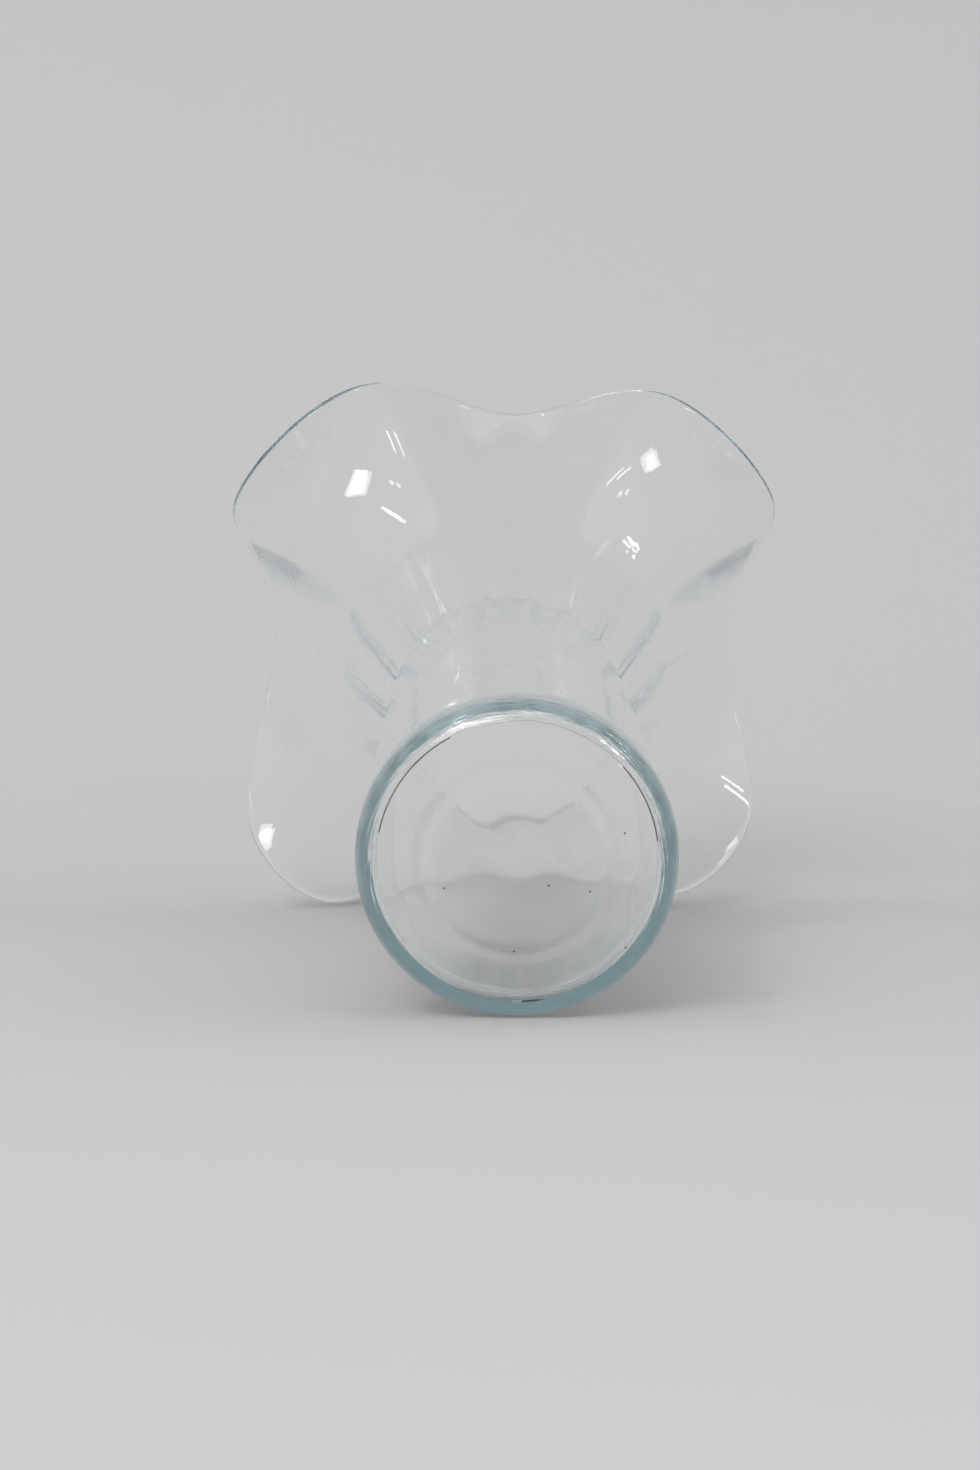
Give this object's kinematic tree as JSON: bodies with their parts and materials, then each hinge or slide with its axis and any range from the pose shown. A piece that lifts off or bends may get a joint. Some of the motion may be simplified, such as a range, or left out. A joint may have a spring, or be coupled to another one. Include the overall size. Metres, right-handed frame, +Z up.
{
  "type": "tulip vase",
  "caption": "Clear glass vase with a tapering tube body, a fluted flare and a wide ruffled rim pinched in between its lobes, standing on a rounded foot.",
  "frame": {"origin": "centre of the underside of the foot, on the plane that the vase stands on", "axes": "+Z up along the vase's axis, +X and +Y through two neighbouring pinches of the rim, with the lobes on the diagonals between them"},
  "size_m": [0.1418, 0.1418, 0.284],
  "materials": {
    "glass": "polished"
  },
  "bodies": {
    "root": {"foot": "glass", "body": "glass", "fluted_cup": "glass", "ruffled_skirt": "glass", "lip": "glass"}
  },
  "joints": []
}
